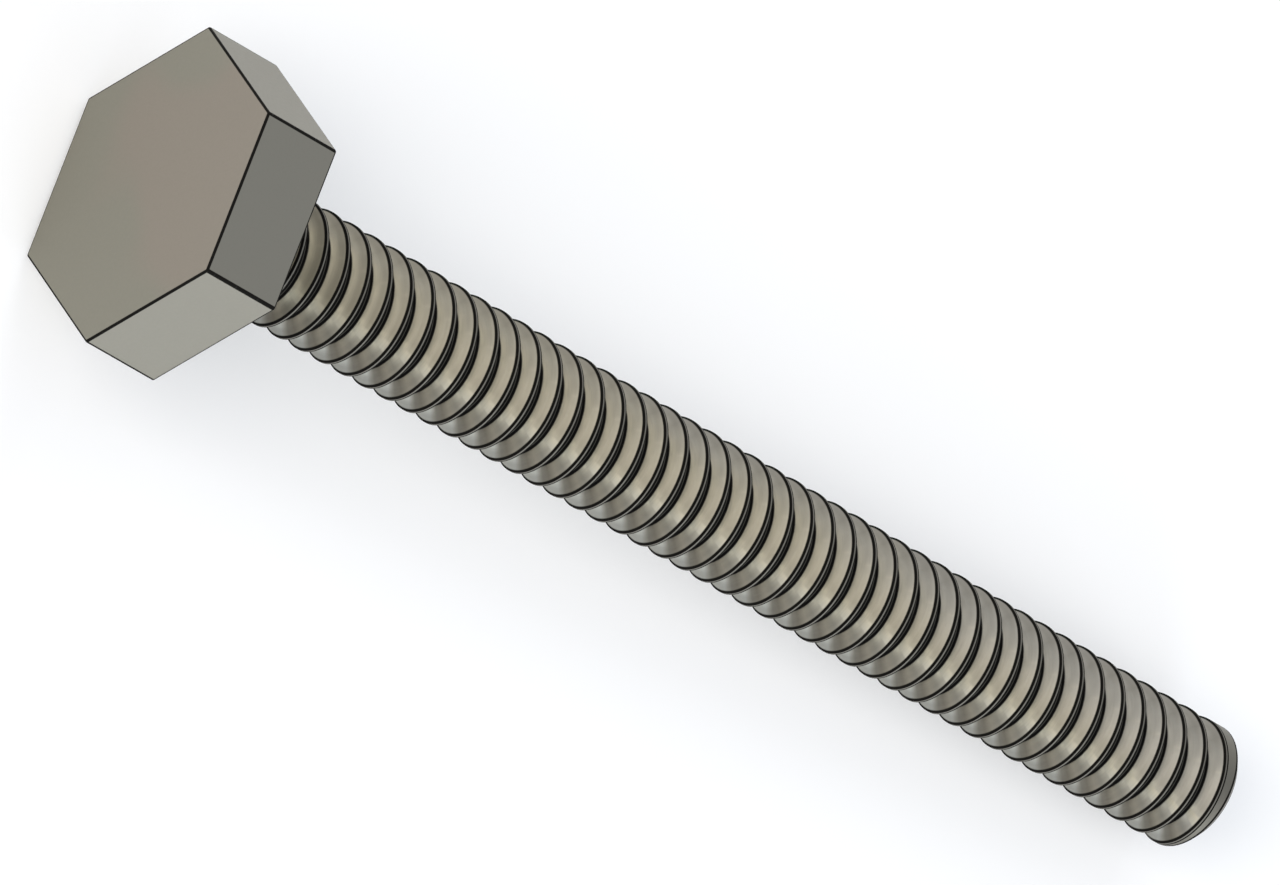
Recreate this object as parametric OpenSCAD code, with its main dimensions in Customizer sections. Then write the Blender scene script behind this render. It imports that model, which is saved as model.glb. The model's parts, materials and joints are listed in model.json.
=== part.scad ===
// Hex head machine screw, 10-24 thread, lying on its head and its tip.
// The origin is where the screw's axis meets the underside of the head.
// +Z is up, and +X runs from the head towards the tip.

/* [Head] */
// Width across flats
head_flats = 10.6; // [8:0.1:13]
// Height from the underside to the flat top
head_height = 3.36; // [2:0.02:6]
// How far the fillet under the head reaches, along the shank and out from it
fillet = 0.2; // [0.1:0.05:0.4]

/* [Shank] */
// Length from the underside of the head to the tip
shank_length = 49.6; // [20:0.1:60]
// Plain collar between the head and the first thread
collar = 0.35; // [0.3:0.05:1.5]
// Chamfer at the tip, along the axis and inwards
tip_chamfer = 0.33; // [0.1:0.01:0.6]
// Least width of the plain band between the last thread and the chamfer
tip_band = 0.04; // [0.02:0.01:1]

/* [Thread] */
// Major diameter
thread_diameter = 4.826; // [4:0.001:6]
// Advance in one turn, which is 24 turns in an inch
pitch = 1.0583; // [0.9:0.0001:1.3]
// Width of the flat on each crest
crest_flat = 0.132; // [0.1:0.001:0.16]
// Width of the flat in each root
root_flat = 0.198; // [0.13:0.001:0.24]
// Angle between the two flanks
flank_angle = 60; // [55:1:65]
// Where the line of the first crest would cross the underside, in degrees round the axis
thread_phase = 162.6; // [0:0.1:360]
// Turn in which the groove deepens from nothing, in degrees
run_in = 180; // [60:15:360]
// Turn in which the groove fades out again at the tip, in degrees
run_out = 75; // [45:15:180]

/* [Smoothness] */
// Flat sides in one turn of the thread
sides = 24; // [18:2:24]

/* [Hidden] */
$fn = 96;
thread_radius = thread_diameter / 2;
flank_width = (pitch - crest_flat - root_flat) / 2;
thread_depth = flank_width / tan(flank_angle / 2);
chamfer_start = shank_length - tip_chamfer;
// The screw rests on one edge of the head and on the edge where the tip's chamfer starts.
lean = atan((head_flats / 2 - thread_radius) / chamfer_start);
// The shank starts inside the head, and so does the fillet's cone.
bury = head_height / 4;

// One turn of the thread is a ring of stations, each a section of crest, flank, root and flank.
// The first station keeps the collar plain, and the last one keeps the tip's band.
step = 360 / sides;
first_station = ceil((thread_phase + 360 * collar / pitch) / step);
last_station = floor((thread_phase + 360 * ((chamfer_start - tip_band) / pitch - 1)) / step);
stations = last_station - first_station;

// Where the crest starts at a station, and how deep the groove is there
function crest_z(i) = pitch * ((first_station + i) * step - thread_phase) / 360;
function ease(x) = let (t = max(0, min(1, x))) t * t * (3 - 2 * t);
function groove_depth(i) =
    thread_depth * min(ease(i * step / run_in), ease((stations - i) * step / run_out));

// A point at a station's angle
function around(i, radius, z) =
    let (angle = (first_station + i) * step) [radius * cos(angle), radius * sin(angle), z];
function ring(start, radius, z) = [for (j = [0:sides - 1]) around(start + j, radius, z)];

// Crest start, crest end, root start and root end
function section(i) =
    let (z = crest_z(i), root_radius = thread_radius - groove_depth(i)) [
        around(i, thread_radius, z),
        around(i, thread_radius, z + crest_flat),
        around(i, root_radius, z + crest_flat + flank_width),
        around(i, root_radius, z + crest_flat + flank_width + root_flat)
    ];

// Numbers of the points in the list that the shank is made from
after_sections = 4 * (stations + 1);
bottom_ring = after_sections + sides;
chamfer_ring = bottom_ring + sides;
tip_ring = chamfer_ring + sides;
// The crest line goes on for one more turn than the sections do.
function crest(i) = i <= stations ? 4 * i : after_sections + i - stations - 1;
function profile(i, k) = k < 4 ? 4 * i + k : crest(i + sides);
function on_ring(first, j) = first + j % sides;

// The threaded shank, from inside the head to the flat end of the tip
module threaded_shank() {
    points = concat(
        [for (i = [0:stations]) each section(i)],
        [for (i = [stations + 1:stations + sides]) around(i, thread_radius, crest_z(i))],
        ring(0, thread_radius, -bury),
        ring(stations, thread_radius, chamfer_start),
        ring(stations, thread_radius - tip_chamfer, shank_length)
    );
    // Crests and roots are flat four-sided faces.
    flats = [for (i = [0:stations - 1], k = [0, 2])
        [profile(i, k), profile(i, k + 1), profile(i + 1, k + 1), profile(i + 1, k)]];
    // Flanks twist, so each of their faces is split in two.
    flanks = [for (i = [0:stations - 1], k = [1, 3]) each [
        [profile(i, k), profile(i, k + 1), profile(i + 1, k + 1)],
        [profile(i, k), profile(i + 1, k + 1), profile(i + 1, k)]
    ]];
    // Plain stretches below the first turn and beyond the last
    collar_faces = [for (j = [0:sides - 2])
        [on_ring(bottom_ring, j), crest(j), crest(j + 1), on_ring(bottom_ring, j + 1)]];
    collar_seam = [
        on_ring(bottom_ring, sides - 1), crest(sides - 1), crest(sides),
        profile(0, 3), profile(0, 2), profile(0, 1), crest(0), on_ring(bottom_ring, 0)
    ];
    band_faces = [for (j = [1:sides - 1])
        [crest(stations + j), on_ring(chamfer_ring, j), on_ring(chamfer_ring, j + 1), crest(stations + j + 1)]];
    band_seam = [
        crest(stations + 1), crest(stations), profile(stations, 1), profile(stations, 2),
        profile(stations, 3), crest(stations + sides), on_ring(chamfer_ring, 0), on_ring(chamfer_ring, 1)
    ];
    chamfer_faces = [for (j = [0:sides - 1])
        [on_ring(chamfer_ring, j), on_ring(tip_ring, j), on_ring(tip_ring, j + 1), on_ring(chamfer_ring, j + 1)]];
    ends = [
        [for (j = [0:sides - 1]) on_ring(bottom_ring, j)],
        [for (j = [sides - 1:-1:0]) on_ring(tip_ring, j)]
    ];
    polyhedron(
        points,
        concat(flats, flanks, collar_faces, [collar_seam], band_faces, [band_seam], chamfer_faces, ends),
        convexity = 10
    );
}

// The head, with a flat side down
module head() {
    translate([0, 0, -head_height])
        rotate([0, 0, 30])
            cylinder(h = head_height, d = head_flats / cos(30), $fn = 6);
}

// A cone that fills the corner between the underside and the collar
module under_head_fillet() {
    translate([0, 0, -bury])
        cylinder(
            h = 2 * bury,
            r1 = thread_radius + fillet + bury,
            r2 = thread_radius + fillet - bury
        );
}

module screw() {
    color([0.64, 0.62, 0.56])
        rotate([0, 90 + lean, 0]) {
            head();
            under_head_fillet();
            threaded_shank();
        }
}

screw();
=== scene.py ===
import json
import math

import bpy
from mathutils import Matrix, Vector


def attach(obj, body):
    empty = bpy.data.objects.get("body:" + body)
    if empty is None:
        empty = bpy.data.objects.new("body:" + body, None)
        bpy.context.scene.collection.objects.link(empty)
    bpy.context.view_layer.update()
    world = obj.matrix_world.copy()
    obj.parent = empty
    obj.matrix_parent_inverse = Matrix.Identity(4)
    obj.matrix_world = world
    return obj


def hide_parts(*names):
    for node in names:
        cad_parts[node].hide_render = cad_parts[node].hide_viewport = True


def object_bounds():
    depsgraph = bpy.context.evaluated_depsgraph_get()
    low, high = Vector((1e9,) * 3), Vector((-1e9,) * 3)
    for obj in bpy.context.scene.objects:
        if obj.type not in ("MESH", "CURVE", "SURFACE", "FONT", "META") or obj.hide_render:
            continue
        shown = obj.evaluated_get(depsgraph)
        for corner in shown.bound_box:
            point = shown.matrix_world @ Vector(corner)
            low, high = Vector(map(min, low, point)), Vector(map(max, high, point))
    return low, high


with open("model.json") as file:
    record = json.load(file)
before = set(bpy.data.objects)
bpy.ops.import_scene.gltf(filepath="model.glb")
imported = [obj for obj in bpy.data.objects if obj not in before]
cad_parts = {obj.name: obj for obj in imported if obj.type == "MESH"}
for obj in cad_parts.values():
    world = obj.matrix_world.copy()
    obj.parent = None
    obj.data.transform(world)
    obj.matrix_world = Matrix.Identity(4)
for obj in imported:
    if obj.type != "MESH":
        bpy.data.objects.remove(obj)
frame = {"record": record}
cad_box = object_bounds()

MM = 0.001

# Sizes of the screw in millimetres and degrees, as on the solid
HEAD_FLATS = 10.6
HEAD_HEIGHT = 3.36
SHANK_LENGTH = 49.6
THREAD_RADIUS = 2.413
THREAD_ANGLE = 60.0
PITCH = 1.0583
CREST_FLAT = 0.132
ROOT_FLAT = 0.198
FILLET = 0.2
TIP_CHAMFER = 0.33
CHAMFER_ANGLE = 45.0
THREAD_PHASE = 162.6
THREAD_START = 285.0
THREAD_END = 16545.0
RUN_IN = 180.0
RUN_OUT = 75.0

# Radii in millimetres of the small roundings that only the visual model has
HEAD_EDGE = 0.07
HEAD_CORNER = 1.5 * HEAD_EDGE
CREST_ROUND = 0.03
TIP_ROUND = 0.05

# The least width in millimetres of the plain band between the last crest and the tip's chamfer
LEAST_BAND = 0.005

# The head's sides, and half the angle of one in degrees
HEAD_SIDES = 6
HALF_SIDE = 180 // HEAD_SIDES

# Points in one turn, and steps in an arc
TURN_SIDES = 96
STEP = 360.0 / TURN_SIDES
CORNER_STEPS = 4
ROOT_STEPS = 6
FILLET_STEPS = 6
TIP_STEPS = 3

FLANK_WIDTH = (PITCH - CREST_FLAT - ROOT_FLAT) / 2
THREAD_DEPTH = FLANK_WIDTH / math.tan(math.radians(THREAD_ANGLE / 2))

# Colours of the steel, as linear values
HEAD_OLIVE = (0.266, 0.253, 0.206)
# A painted reflection tint, in soft patches on the head's top
HEAD_WARM_REFLECTION_PATCH = (0.285, 0.253, 0.209)
HEAD_SIDE = (0.270, 0.257, 0.216)
OUTER_WARM = (0.488, 0.454, 0.370)
# A painted grey reflection tint for the flanks
OUTER_PAINTED_GREY_TINT = (0.471, 0.450, 0.401)
# Painted light: the flank's lighter shades towards the root, warm and with the grey reflection tint
INNER_WARM_PAINTED_LIGHT = (0.830, 0.774, 0.632)
INNER_GREY_PAINTED_LIGHT = (0.797, 0.762, 0.680)
# Painted reflections on the flanks: the dark of the streaks, the glint, and a cool tint
STREAK_PAINTED_DARK = (0.104, 0.094, 0.073)
PAINTED_GLINT = (0.600, 0.562, 0.463)
ROLLED_LINE = (0.30, 0.28, 0.24)
CREST_EDGE = (0.016, 0.015, 0.013)
CREST_LAND = (0.200, 0.190, 0.164)
# Painted shade in the thread's root, with a faint lighter line along it
ROOT_PAINTED_SHADE = (0.014, 0.013, 0.012)
ROOT_LINE = (0.115, 0.109, 0.095)
PAINTED_COOL_TINT = (0.92, 1.00, 1.13)
DARK_EDGE = (0.020, 0.019, 0.017)
# Painted shade on the plain tip and its chamfer
TIP_PAINTED_SHADE = (0.190, 0.180, 0.151)

# Shares of the thread's depth, counted from the crest, between which a shade sets in: the crest's land and
# dark edge, the painted light that lifts the flank towards the root, and the painted shade of the root
LAND_FADE = (0.020, 0.002)
CREST_FADE = (0.155, 0.095)
FLANK_FADE = (0.300, 0.820)
ROOT_FADE = (0.840, 0.910)

# Distances in millimetres across the crest between which its lighter land begins and ends
LAND_BEGINS = (0.022, 0.040)
LAND_ENDS = (0.098, 0.076)

# Distances in millimetres across the root between which its faint lighter line begins and ends
LINE_BEGINS = (0.612, 0.630)
LINE_ENDS = (0.664, 0.646)

# Distances in millimetres from an edge between which the dark of the edge sets in
HEAD_EDGE_FADE = (0.092, 0.067)
TIP_EDGE_FADE = (0.085, 0.060)

# Millimetres along the axis between which the head's dark edges end, and its top's colour gives way
HEAD_END = (0.05, 0.0)
TOP_END = (-HEAD_HEIGHT + 0.02, -HEAD_HEIGHT + 0.08)

# How much detail the soft patterns have, and the fine ones
SOFT = 1.0
FINE = 3.0

# Soft patches on the head's top, a painted reflection tint: their scale, how they lean to one side, and
# where the warm shade sets in
PATCH_SCALE = 0.16
PATCH_SLANT = 0.03
PATCH_LIMITS = (0.42, 0.58)

# The flanks' grey shade, a painted reflection tint: its weight for each millimetre across and along, that
# of patches, and its limits
GREY_ACROSS = 0.10
GREY_ALONG = 0.012
GREY_PATCHES = 0.5
GREY_LIMITS = (0.55, 0.85)

# Painted reflection streaks along the flanks: degrees round the shank from its lowest line, light share,
# cool share
PAINTED_REFLECTION_STREAKS = (
    (0, 0.70, 0.2), (24, 0.95, 0.7), (48, 0.55, 0.0), (76, 0.85, 0.3), (104, 0.52, 0.0),
    (125, 0.47, 0.0), (142, 0.79, 0.0), (163, 0.93, 0.0), (183, 0.76, 0.0), (202, 0.72, 0.0),
    (212, 1.00, 0.0), (219, 1.00, 0.3), (231, 0.50, 0.4), (240, 0.52, 0.0), (250, 0.22, 0.0),
    (259, 0.26, 0.4), (270, 0.79, 1.0), (300, 0.90, 0.8), (330, 0.50, 0.0), (360, 0.70, 0.2),
)
# How far the painted streaks turn in each millimetre along the shank, and how far they waver, in degrees
STREAK_DRIFT = 0.12
STREAK_WAVER = 12.0
WAVER_SCALE = 0.25
# Light shares of the painted streaks between which the painted lift towards the root falls off, to which
# level, and the painted glint sets in
PAINTED_LIFT_LIMITS = (0.80, 1.0)
PAINTED_LIFT_LEVELS = (1.0, 0.5)
PAINTED_GLINT_LIMITS = (0.90, 1.0)

# Faint rolled lines: their scale, how fast they change over the thread's depth, limits and strength
ROLLED_SCALE = 1.2
ROLLED_CHANGE = 9.0
ROLLED_LIMITS = (0.4, 0.8)
ROLLED_LEVELS = (0.0, 0.18)

# How rough the steel is, and by how much that varies and at which scale
ROUGHNESS = 0.44
ROUGHNESS_SPREAD = 0.10
ROUGHNESS_SCALE = 9.0
# How much rougher the dark lines are, and the share of it that the crest's light land goes without
DARK_ROUGHNESS = 0.40
LAND_SHINE = 0.60
# The steel's grain, with its height in millimetres
GRAIN_SCALE = 22.0
GRAIN_HEIGHT = 0.004
GRAIN_STRENGTH = 0.25

# The floor lies where the solid stands. Its glow grows between two radii in metres.
FLOOR_Z = cad_box[0].z
FLOOR_CENTRE = (0.025, 0.0)
FLOOR_RADIUS = 4.0
FLOOR_SIDES = 96
FLOOR_COLOUR = (0.68, 0.68, 0.68)
FLOOR_ROUGHNESS = 0.9
GLOW_RADII = (0.12, 0.50)
GLOW = (0.30, 0.60)

# The sky's colour near the horizon and higher up, and the heights between which it changes
SKY_LOW = (0.95, 0.95, 0.95)
SKY_HIGH = (0.575, 0.605, 0.660)
SKY_HEIGHTS = (0.05, 0.60)
SKY_STRENGTH = 1.0

# Lamps: name, direction from the screw, side in metres, power in watts, colour
LAMPS = (
    ("key", (-0.78, -0.18, 0.60), 0.30, 1.36, (1.0, 0.95, 0.88)),
    ("top", (-0.10, 0.75, 0.66), 0.30, 0.47, (0.94, 0.98, 1.0)),
    ("side", (0.35, -0.90, 0.26), 0.24, 0.72, (0.80, 0.89, 1.0)),
    ("fill", (0.90, -0.30, 0.26), 0.24, 0.55, (0.96, 0.98, 1.0)),
)
LAMP_DISTANCE = 0.50
LAMP_AIM = (0.022, 0.0, 0.0)

# A mix node's sockets for colours, by number
MIX_SHARE, MIX_A, MIX_B, MIX_RESULT = 0, 6, 7, 2

# The camera's directions as shares of the screw's own: along the axis, up, across
CAMERA_RIGHT = (0.7071, 0.6124, 0.3535)
CAMERA_BACK = (-0.5774, 0.7887, -0.2113)
# From the middle of the head's top to the middle of the picture, and the distance, in millimetres
AIM_RIGHT = 17.337
AIM_DOWN = 9.104
CAMERA_DISTANCE = 1189.65
LENS = 950.0
SENSOR = 36.0
CLIP = (0.01, 10.0)


def mount(name):
    """The mount's place in millimetres and its direction."""
    found = next(m for m in frame["record"]["mounts"] if m["name"] == name)
    return Vector(found["pos_m"]) / MM, Vector(found["axis"]).normalized()


# The screw's own directions: along its axis to the tip, up through the top flat, and level across
SEAT, AXIS = mount("bearing_face")
UP = mount("wrench_flat_up")[1]
ACROSS = UP.cross(AXIS)
TO_FRAME = Matrix((-UP, ACROSS, AXIS)).transposed()


def ease(x):
    """Rises smoothly from 0 to 1."""
    t = max(0.0, min(1.0, x))
    return t * t * (3 - 2 * t)


def arc(centre, radius, start, end, steps):
    """Points on a circle from one angle in degrees to another, both included."""
    turns = [math.radians(start + (end - start) * i / steps) for i in range(steps + 1)]
    return [(centre[0] + radius * math.cos(t), centre[1] + radius * math.sin(t)) for t in turns]


def thread_profile():
    """One pitch from crest to crest, as (depth, advance from the crest's start)."""
    slope = 90.0 - THREAD_ANGLE / 2
    tangent = CREST_ROUND * math.tan(math.radians(slope / 2))
    root_round = ROOT_FLAT / 2 / math.tan(math.radians(slope / 2))
    root_middle = CREST_FLAT + FLANK_WIDTH + ROOT_FLAT / 2
    points = [(0.0, tangent)]
    points += arc((CREST_ROUND, CREST_FLAT - tangent), CREST_ROUND, 180, 180 - slope, CORNER_STEPS)
    points += arc((THREAD_DEPTH - root_round, root_middle), root_round, -slope, slope, ROOT_STEPS)
    points += arc((CREST_ROUND, PITCH + tangent), CREST_ROUND, 180 + slope, 180, CORNER_STEPS)[:-1]
    return points


def rounded_hexagon(flats, corner):
    """TURN_SIDES points round a hexagon with a small arc at each corner, from its first corner on."""
    reach = (flats / 2 - corner) / math.cos(math.radians(HALF_SIDE))
    corners = []
    for middle in range(HALF_SIDE, 360 + HALF_SIDE, 2 * HALF_SIDE):
        centre = (reach * math.cos(math.radians(middle)), reach * math.sin(math.radians(middle)))
        corners.append(arc(centre, corner, middle - HALF_SIDE, middle + HALF_SIDE, CORNER_STEPS))
    gaps = TURN_SIDES // HEAD_SIDES - CORNER_STEPS
    points = []
    for k, rounding in enumerate(corners):
        last, following = Vector(rounding[-1]), Vector(corners[(k + 1) % HEAD_SIDES][0])
        points += rounding + [tuple(last.lerp(following, i / gaps)) for i in range(1, gaps)]
    return points


class Skin:
    """A closed surface of rings, sections and faces."""

    def __init__(self):
        self.points = []
        self.faces = []
        # For each corner of each face, how deep the thread is cut there, from 0 to 1
        self.cut = []

    def add(self, points):
        start = len(self.points)
        self.points += points
        return list(range(start, len(self.points)))

    def face(self, corners, cut=None):
        self.faces.append(tuple(corners))
        self.cut += cut or [0.0] * len(corners)

    def ring(self, radius, along, start):
        angles = [math.radians(start + STEP * i) for i in range(TURN_SIDES)]
        return self.add([(radius * math.cos(a), radius * math.sin(a), along) for a in angles])

    def join(self, rings):
        for lower, upper in zip(rings, rings[1:]):
            for i in range(TURN_SIDES):
                k = (i + 1) % TURN_SIDES
                self.face((lower[i], lower[k], upper[k], upper[i]))


def add_head(skin):
    """The hex head and the fillet under it. Gives the ring where the shank begins."""
    edge = arc((HEAD_EDGE, HEAD_EDGE), HEAD_EDGE, 270, 180, CORNER_STEPS)
    rows = [(inset, -HEAD_HEIGHT + along) for inset, along in edge]
    rows += [(inset, -along) for inset, along in reversed(edge)]
    # The first corner's arc has its middle at HALF_SIDE, so each row is turned to begin like the thread.
    turn = (round((THREAD_START - HALF_SIDE) / STEP) + CORNER_STEPS // 2) % TURN_SIDES
    rings = []
    for inset, along in rows:
        outline = rounded_hexagon(HEAD_FLATS - 2 * inset, HEAD_CORNER - inset)
        rings.append(skin.add([(x, y, along) for x, y in outline[turn:] + outline[:turn]]))
    skin.face(rings[0][::-1])
    hollow = arc((THREAD_RADIUS + FILLET, FILLET), FILLET, 270, 180, FILLET_STEPS)
    rings += [skin.ring(radius, along, THREAD_START) for radius, along in hollow]
    skin.join(rings)
    return rings[-1]


def add_tip(skin):
    """The chamfered tip. Gives the ring where the chamfer's rounding begins."""
    tangent = TIP_ROUND * math.tan(math.radians(CHAMFER_ANGLE / 2))
    rim = (THREAD_RADIUS - TIP_ROUND, SHANK_LENGTH - TIP_CHAMFER - tangent)
    inner = (THREAD_RADIUS - TIP_CHAMFER - tangent, SHANK_LENGTH - TIP_ROUND)
    rows = arc(rim, TIP_ROUND, 0, CHAMFER_ANGLE, TIP_STEPS)
    rows += arc(inner, TIP_ROUND, CHAMFER_ANGLE, 90, TIP_STEPS)
    rings = [skin.ring(radius, along, THREAD_END) for radius, along in rows]
    skin.join(rings)
    skin.face(rings[-1])
    return rings[0]


def add_thread(skin, collar, band):
    """The thread from the collar under the head to the plain band at the tip."""
    profile = thread_profile()
    stations = round((THREAD_END - THREAD_START) / STEP)
    sections, cuts, lips, rims = [], [], [], []
    last_rim = skin.points[band[0]][2] - LEAST_BAND
    for i in range(stations + TURN_SIDES + 1):
        angle = THREAD_START + i * STEP
        start = PITCH * (angle - THREAD_PHASE) / 360
        c, s = math.cos(math.radians(angle)), math.sin(math.radians(angle))
        if i <= stations:
            cut = min(ease(i * STEP / RUN_IN), ease((stations - i) * STEP / RUN_OUT))
            radii = [(THREAD_RADIUS - cut * depth, start + ahead) for depth, ahead in profile]
            section = skin.add([(r * c, r * s, along) for r, along in radii])
            sections.append(section)
            cuts.append(cut)
            lips.append(section[0])
        else:
            # Past the end of the thread, its crest goes on for one turn as a narrow land.
            land = (start + profile[0][1], min(start + CREST_FLAT + profile[0][1], last_rim))
            lip, rim = skin.add([(THREAD_RADIUS * c, THREAD_RADIUS * s, along) for along in land])
            lips.append(lip)
            rims.append(rim)
    for i in range(stations):
        a = sections[i] + [lips[i + TURN_SIDES]]
        b = sections[i + 1] + [lips[i + 1 + TURN_SIDES]]
        cut = [cuts[i], cuts[i + 1], cuts[i + 1], cuts[i]]
        for k in range(len(profile)):
            skin.face((a[k], b[k], b[k + 1], a[k + 1]), cut)

    # Plain stretches before the first turn and after the last
    for j in range(TURN_SIDES - 1):
        skin.face((collar[j], collar[j + 1], lips[j + 1], lips[j]))
    skin.face([collar[-1], collar[0]] + sections[0] + [lips[TURN_SIDES], lips[TURN_SIDES - 1]])
    rims.insert(0, sections[stations][1])
    for j in range(TURN_SIDES):
        here, there = cuts[stations - TURN_SIDES + j], cuts[stations - TURN_SIDES + j + 1]
        land = (lips[stations + j], lips[stations + j + 1], rims[j + 1], rims[j])
        skin.face(land, [here, there, there, here])
    for j in range(1, TURN_SIDES):
        skin.face((rims[j], rims[j + 1], band[(j + 1) % TURN_SIDES], band[j]))
    end = sections[stations][:0:-1]
    skin.face([rims[1], band[1], band[0], rims[TURN_SIDES], lips[stations + TURN_SIDES]] + end)


def build_screw():
    skin = Skin()
    collar = add_head(skin)
    band = add_tip(skin)
    add_thread(skin, collar, band)
    mesh = bpy.data.meshes.new("screw_body")
    mesh.from_pydata([SEAT * MM + TO_FRAME @ Vector(p) * MM for p in skin.points], [], skin.faces)
    mesh.shade_smooth()
    mesh.update()
    mesh.attributes.new("groove", "FLOAT", "CORNER").data.foreach_set("value", skin.cut)
    # Each point's normal is weighted by area, so that flat faces look flat and only the roundings bend.
    normals = [Vector() for _ in mesh.vertices]
    for face in mesh.polygons:
        for index in face.vertices:
            normals[index] += face.normal * face.area
    mesh.normals_split_custom_set_from_vertices([n.normalized() for n in normals])
    body = bpy.data.objects.new("screw_body", mesh)
    bpy.context.scene.collection.objects.link(body)
    return body


def feed(tree, socket, value):
    """Links an output to the socket, or sets a constant there."""
    if isinstance(value, bpy.types.NodeSocket):
        tree.links.new(value, socket)
    elif isinstance(value, tuple):
        socket.default_value = (*value, 1.0)
    else:
        socket.default_value = value


def maths(tree, operation, *values):
    node = tree.nodes.new("ShaderNodeMath")
    node.operation = operation
    for socket, value in zip(node.inputs, values):
        feed(tree, socket, value)
    return node.outputs[0]


def fade(tree, value, limits, levels=(0.0, 1.0)):
    """Goes smoothly from the first level to the second while the value goes between the limits."""
    node = tree.nodes.new("ShaderNodeMapRange")
    node.interpolation_type = "SMOOTHSTEP"
    feed(tree, node.inputs["Value"], value)
    for name, number in zip(("From Min", "From Max", "To Min", "To Max"), (*limits, *levels)):
        feed(tree, node.inputs[name], number)
    return node.outputs["Result"]


def blend(tree, share, a, b, kind="MIX"):
    """Goes from colour a to colour b as the share goes from 0 to 1."""
    node = tree.nodes.new("ShaderNodeMix")
    node.data_type = "RGBA"
    node.blend_type = kind
    for index, value in ((MIX_SHARE, share), (MIX_A, a), (MIX_B, b)):
        feed(tree, node.inputs[index], value)
    return node.outputs[MIX_RESULT]


def noise(tree, vector, scale, detail, w=None):
    node = tree.nodes.new("ShaderNodeTexNoise")
    node.noise_dimensions = "3D" if w is None else "4D"
    feed(tree, node.inputs["Vector"], vector)
    feed(tree, node.inputs["Scale"], scale)
    feed(tree, node.inputs["Detail"], detail)
    if w is not None:
        feed(tree, node.inputs["W"], w)
    return node.outputs[0]


def length(tree, vector):
    node = tree.nodes.new("ShaderNodeVectorMath")
    node.operation = "LENGTH"
    feed(tree, node.inputs[0], vector)
    return node.outputs["Value"]


def new_material(name):
    material = bpy.data.materials.new(name)
    material.use_nodes = True
    tree = material.node_tree
    return material, tree, next(n for n in tree.nodes if n.type == "BSDF_PRINCIPLED")


def own_place(tree):
    """Millimetres in the screw's own directions: x down, y across, z from under the head to the tip."""
    place = tree.nodes.new("ShaderNodeTexCoord")
    turned = tree.nodes.new("ShaderNodeMapping")
    turned.vector_type = "POINT"
    feed(tree, turned.inputs["Vector"], place.outputs["Object"])
    turned.inputs["Rotation"].default_value = TO_FRAME.inverted().to_euler()
    turned.inputs["Scale"].default_value = (1 / MM,) * 3
    return turned.outputs[0]


def head_edge_share(tree, x, y, z):
    """How far a point of the head lies inside the narrow dark band along its edges."""
    half_x = maths(tree, "MULTIPLY", x, 0.5)
    half_y = maths(tree, "MULTIPLY", y, math.sqrt(3) / 2)
    a = maths(tree, "ABSOLUTE", x)
    b = maths(tree, "ABSOLUTE", maths(tree, "ADD", half_x, half_y))
    c = maths(tree, "ABSOLUTE", maths(tree, "SUBTRACT", half_x, half_y))
    # The two nearest sides of the hexagon, and the nearer of the head's two ends
    greater = maths(tree, "MAXIMUM", a, b)
    first = maths(tree, "MAXIMUM", greater, c)
    second = maths(tree, "MAXIMUM", maths(tree, "MINIMUM", a, b), maths(tree, "MINIMUM", greater, c))
    from_first = maths(tree, "SUBTRACT", HEAD_FLATS / 2, first)
    from_second = maths(tree, "SUBTRACT", HEAD_FLATS / 2, second)
    from_top = maths(tree, "ADD", z, HEAD_HEIGHT)
    from_end = maths(tree, "MINIMUM", from_top, maths(tree, "MULTIPLY", z, -1.0))
    from_edge = maths(tree, "MINIMUM", from_second, maths(tree, "MAXIMUM", from_first, from_end))
    on_head = fade(tree, z, HEAD_END)
    return maths(tree, "MULTIPLY", fade(tree, from_edge, HEAD_EDGE_FADE), on_head)


def tip_edge_share(tree, radius, z):
    """How far a point lies inside the narrow dark band along the chamfer's two edges."""
    from_rim = maths(tree, "ABSOLUTE", maths(tree, "SUBTRACT", z, SHANK_LENGTH - TIP_CHAMFER))
    from_end = maths(tree, "SUBTRACT", SHANK_LENGTH, z)
    from_ring = maths(tree, "ABSOLUTE", maths(tree, "SUBTRACT", radius, THREAD_RADIUS - TIP_CHAMFER))
    from_face = maths(tree, "MAXIMUM", from_end, from_ring)
    return fade(tree, maths(tree, "MINIMUM", from_rim, from_face), TIP_EDGE_FADE)


def plain_colour(tree, own, x, y, z):
    """Two close shades in soft patches on the top of the head, a painted reflection tint, and one on its
    sides that darkens along the shank into a painted shade on the tip.
    """
    rightward = maths(tree, "MULTIPLY", y, 0.5)
    upward = maths(tree, "MULTIPLY", x, -math.sqrt(3) / 2)
    slant = maths(tree, "MULTIPLY", maths(tree, "ADD", rightward, upward), PATCH_SLANT)
    patches = maths(tree, "ADD", noise(tree, own, PATCH_SCALE, SOFT), slant)
    top = blend(tree, fade(tree, patches, PATCH_LIMITS), HEAD_OLIVE, HEAD_WARM_REFLECTION_PATCH)
    # The plain sides darken along the shank into the painted shade at the tip
    sides = blend(tree, fade(tree, z, (0.0, SHANK_LENGTH)), HEAD_SIDE, TIP_PAINTED_SHADE)
    return blend(tree, fade(tree, z, TOP_END), top, sides)


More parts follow.
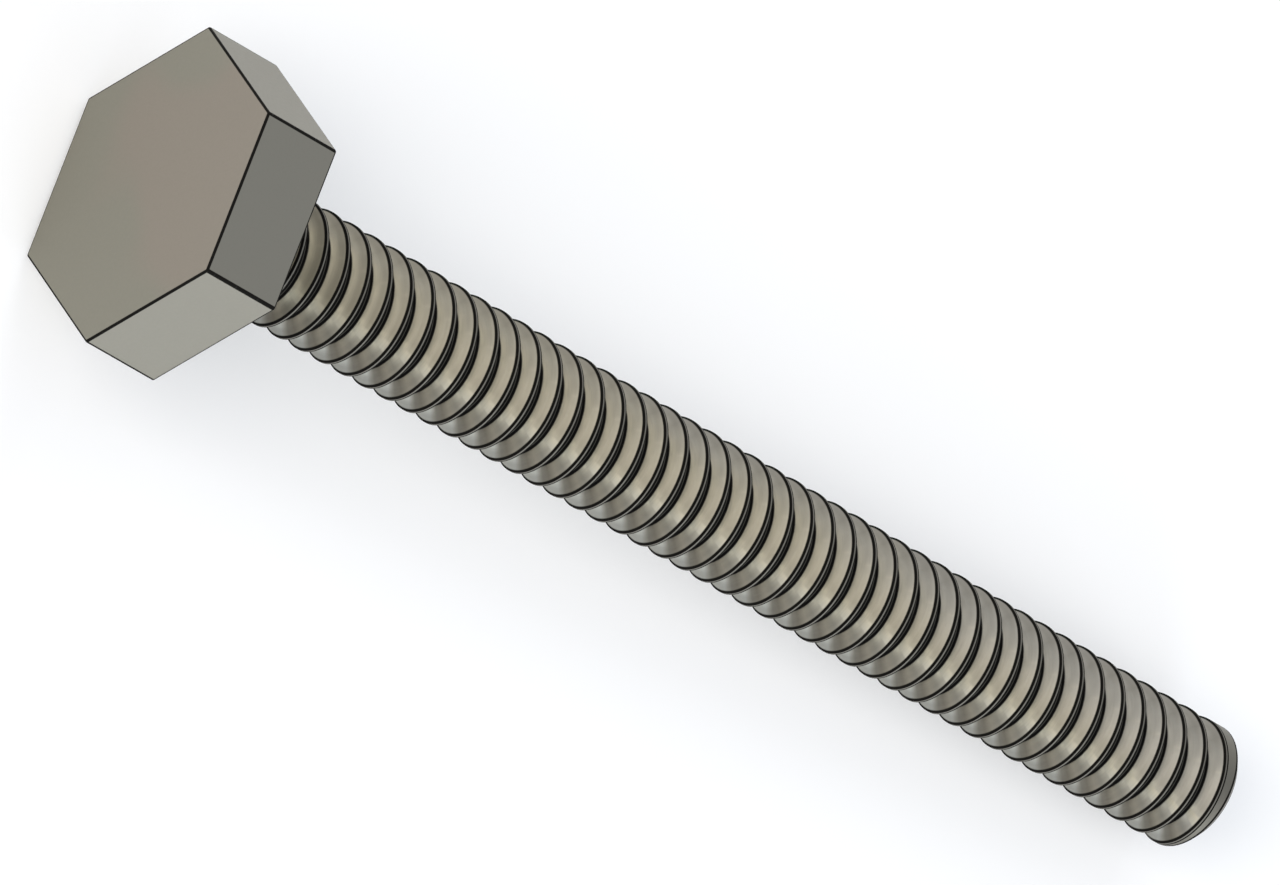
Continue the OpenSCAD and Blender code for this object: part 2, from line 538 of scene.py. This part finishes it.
def painted_streak_shares(tree, own, turn, z):
    """The shares of the light and the cool shade of the painted reflection streaks that run along the
    shank, at a place on it.
    """
    sway = maths(tree, "SUBTRACT", noise(tree, own, WAVER_SCALE, SOFT), 0.5)
    waver = maths(tree, "MULTIPLY", sway, STREAK_WAVER / 360)
    drift = maths(tree, "MULTIPLY", z, STREAK_DRIFT / 360)
    place = maths(tree, "FRACT", maths(tree, "ADD", maths(tree, "SUBTRACT", turn, drift), waver))
    ramp = tree.nodes.new("ShaderNodeValToRGB")
    stops = ramp.color_ramp.elements
    while len(stops) < len(PAINTED_REFLECTION_STREAKS):
        stops.new(1.0)
    for stop, (angle, streak_light, streak_cool) in zip(stops, PAINTED_REFLECTION_STREAKS):
        stop.position = angle / 360
        stop.color = (streak_light, streak_cool, 0.0, 1.0)
    feed(tree, ramp.inputs[0], place)
    shares = tree.nodes.new("ShaderNodeSeparateXYZ")
    feed(tree, shares.inputs[0], ramp.outputs[0])
    return shares.outputs[0], shares.outputs[1]


def way_across(tree, turn, z):
    """Millimetres along the axis from where the crest of the same turn starts."""
    pitches = maths(tree, "SUBTRACT", maths(tree, "DIVIDE", z, PITCH), turn)
    part = maths(tree, "FRACT", maths(tree, "ADD", pitches, THREAD_PHASE / 360))
    return maths(tree, "MULTIPLY", part, PITCH)


def band_share(tree, value, begins, ends):
    return maths(tree, "MULTIPLY", fade(tree, value, begins), fade(tree, value, ends))


def flank_colour(tree, own, depth, painted_streaks, y, z):
    """Two shades, with a painted grey reflection tint to the tip and one side, painted light towards the
    root, painted reflection streaks, glint and cool tint, and rolled lines.
    """
    sideways, onward = maths(tree, "MULTIPLY", y, GREY_ACROSS), maths(tree, "MULTIPLY", z, GREY_ALONG)
    patches = maths(tree, "MULTIPLY", noise(tree, own, PATCH_SCALE, SOFT), GREY_PATCHES)
    painted_grey_amount = maths(tree, "ADD", maths(tree, "ADD", sideways, onward), patches)
    tint = fade(tree, painted_grey_amount, GREY_LIMITS)
    streak_light, streak_cool = painted_streaks
    # The outer shades, and the inner ones, which are painted light towards the root
    outer = blend(tree, tint, OUTER_WARM, OUTER_PAINTED_GREY_TINT)
    inner = blend(tree, tint, INNER_WARM_PAINTED_LIGHT, INNER_GREY_PAINTED_LIGHT)
    # The painted light lifts the flank towards the root against the groove's shade; the lightest painted
    # streaks, which stand for light seen past the neighbouring ridge, get less of it.
    need = fade(tree, streak_light, PAINTED_LIFT_LIMITS, PAINTED_LIFT_LEVELS)
    painted_lift = maths(tree, "MULTIPLY", fade(tree, depth, FLANK_FADE), need)
    # Painted reflection streaks: dark where the light share is low, a painted glint where it is highest,
    # and a painted cool tint
    colour = blend(tree, streak_light, STREAK_PAINTED_DARK, blend(tree, painted_lift, outer, inner))
    colour = blend(tree, fade(tree, streak_light, PAINTED_GLINT_LIMITS), colour, PAINTED_GLINT)
    colour = blend(tree, streak_cool, colour, PAINTED_COOL_TINT, "MULTIPLY")
    lines = noise(tree, own, ROLLED_SCALE, SOFT, maths(tree, "MULTIPLY", depth, ROLLED_CHANGE))
    return blend(tree, fade(tree, lines, ROLLED_LIMITS, ROLLED_LEVELS), colour, ROLLED_LINE)


def steel_material():
    material, tree, shader = new_material("satin_steel")
    own = own_place(tree)
    split = tree.nodes.new("ShaderNodeSeparateXYZ")
    feed(tree, split.inputs[0], own)
    x, y, z = split.outputs
    flat = tree.nodes.new("ShaderNodeCombineXYZ")
    feed(tree, flat.inputs[0], x)
    feed(tree, flat.inputs[1], y)
    radius = length(tree, flat.outputs[0])
    depth = maths(tree, "DIVIDE", maths(tree, "SUBTRACT", THREAD_RADIUS, radius), THREAD_DEPTH)
    groove = tree.nodes.new("ShaderNodeAttribute")
    groove.attribute_name = "groove"
    on_thread = groove.outputs["Fac"]

    turn = maths(tree, "MULTIPLY", maths(tree, "ARCTAN2", y, x), 1 / math.tau)
    across = way_across(tree, turn, z)
    flank = flank_colour(tree, own, depth, painted_streak_shares(tree, own, turn, z), y, z)
    colour = blend(tree, on_thread, plain_colour(tree, own, x, y, z), flank)
    land = band_share(tree, across, LAND_BEGINS, LAND_ENDS)
    crest = blend(tree, land, CREST_EDGE, CREST_LAND)
    # The root is painted shade, with a faint lighter line along it
    root = blend(tree, band_share(tree, across, LINE_BEGINS, LINE_ENDS), ROOT_PAINTED_SHADE, ROOT_LINE)
    dark = 0.0
    for limits, shade in ((CREST_FADE, CREST_EDGE), (LAND_FADE, crest), (ROOT_FADE, root)):
        share = maths(tree, "MULTIPLY", on_thread, fade(tree, depth, limits))
        colour = blend(tree, share, colour, shade)
        dark = maths(tree, "MAXIMUM", share, dark)
    edges = maths(tree, "MAXIMUM", head_edge_share(tree, x, y, z), tip_edge_share(tree, radius, z))
    colour = blend(tree, edges, colour, DARK_EDGE)
    dark = maths(tree, "MAXIMUM", edges, dark)
    feed(tree, shader.inputs["Base Color"], colour)
    feed(tree, shader.inputs["Metallic"], 1.0)

    spread = maths(tree, "MULTIPLY", noise(tree, own, ROUGHNESS_SCALE, FINE), ROUGHNESS_SPREAD)
    dull = maths(tree, "MULTIPLY", dark, maths(tree, "MULTIPLY_ADD", land, -LAND_SHINE, 1.0))
    rougher = maths(tree, "MULTIPLY_ADD", dull, DARK_ROUGHNESS, ROUGHNESS)
    feed(tree, shader.inputs["Roughness"], maths(tree, "ADD", spread, rougher))
    bump = tree.nodes.new("ShaderNodeBump")
    feed(tree, bump.inputs["Strength"], GRAIN_STRENGTH)
    feed(tree, bump.inputs["Distance"], GRAIN_HEIGHT * MM)
    feed(tree, bump.inputs["Height"], noise(tree, own, GRAIN_SCALE, FINE))
    feed(tree, shader.inputs["Normal"], bump.outputs[0])
    return material


def floor_material():
    """A pale matt floor with a slight glow, so that it shows white and keeps the shadow."""
    material, tree, shader = new_material("pale_floor")
    feed(tree, shader.inputs["Base Color"], FLOOR_COLOUR)
    feed(tree, shader.inputs["Roughness"], FLOOR_ROUGHNESS)
    feed(tree, shader.inputs["Specular IOR Level"], 0.0)
    feed(tree, shader.inputs["Emission Color"], (1.0, 1.0, 1.0))
    path = tree.nodes.new("ShaderNodeLightPath")
    seen = maths(tree, "ADD", path.outputs["Is Camera Ray"], path.outputs["Is Glossy Ray"])
    seen = maths(tree, "ADD", seen, path.outputs["Is Transmission Ray"])
    seen = maths(tree, "MINIMUM", seen, 1.0)
    # The glow grows away from the lamps' pool of light, so that the floor stays white up to the horizon.
    place = tree.nodes.new("ShaderNodeTexCoord")
    glow = fade(tree, length(tree, place.outputs["Object"]), GLOW_RADII, GLOW)
    feed(tree, shader.inputs["Emission Strength"], maths(tree, "MULTIPLY", seen, glow))
    return material


def build_floor():
    place = (*FLOOR_CENTRE, FLOOR_Z)
    bpy.ops.mesh.primitive_circle_add(
        vertices=FLOOR_SIDES, radius=FLOOR_RADIUS, fill_type="NGON", location=place
    )
    floor = bpy.context.object
    floor.name = "floor"
    floor.data.materials.append(floor_material())


def build_world():
    world = bpy.data.worlds.new("studio")
    bpy.context.scene.world = world
    world.use_nodes = True
    tree = world.node_tree
    background = next(n for n in tree.nodes if n.type == "BACKGROUND")
    place = tree.nodes.new("ShaderNodeTexCoord")
    split = tree.nodes.new("ShaderNodeSeparateXYZ")
    feed(tree, split.inputs[0], place.outputs["Generated"])
    sky = tree.nodes.new("ShaderNodeValToRGB")
    for element, position, colour in zip(sky.color_ramp.elements, SKY_HEIGHTS, (SKY_LOW, SKY_HIGH)):
        element.position = position
        element.color = (*colour, 1.0)
    feed(tree, sky.inputs[0], split.outputs[2])
    feed(tree, background.inputs["Color"], sky.outputs[0])
    feed(tree, background.inputs["Strength"], SKY_STRENGTH)


def add_lamp(name, direction, side, power, colour):
    lamp = bpy.data.lights.new(name, "AREA")
    lamp.shape = "SQUARE"
    lamp.size = side
    lamp.energy = power
    lamp.color = colour
    holder = bpy.data.objects.new(name, lamp)
    bpy.context.scene.collection.objects.link(holder)
    towards = Vector(direction).normalized()
    holder.location = Vector(LAMP_AIM) + towards * LAMP_DISTANCE
    holder.rotation_mode = "QUATERNION"
    holder.rotation_quaternion = towards.to_track_quat("Z", "Y")


def in_frame(shares):
    along, up, across = shares
    return (along * AXIS + up * UP + across * ACROSS).normalized()


def build_camera():
    """A long lens that looks as the photograph does, in an isometric view of the screw."""
    right, back = in_frame(CAMERA_RIGHT), in_frame(CAMERA_BACK)
    upward = back.cross(right).normalized()
    aim = mount("head_top")[0] + AIM_RIGHT * right - AIM_DOWN * upward
    data = bpy.data.cameras.new("camera")
    data.lens = LENS
    data.sensor_width = SENSOR
    data.clip_start, data.clip_end = CLIP
    camera = bpy.data.objects.new("camera", data)
    bpy.context.scene.collection.objects.link(camera)
    turn = Matrix((right, upward, back)).transposed().to_4x4()
    turn.translation = (aim + CAMERA_DISTANCE * back) * MM
    camera.matrix_world = turn
    bpy.context.scene.camera = camera


screw = build_screw()
screw.data.materials.append(steel_material())
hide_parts("screw")
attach(screw, "root")

build_floor()
build_world()
for lamp in LAMPS:
    add_lamp(*lamp)
build_camera()
bpy.context.scene.view_settings.view_transform = "Standard"
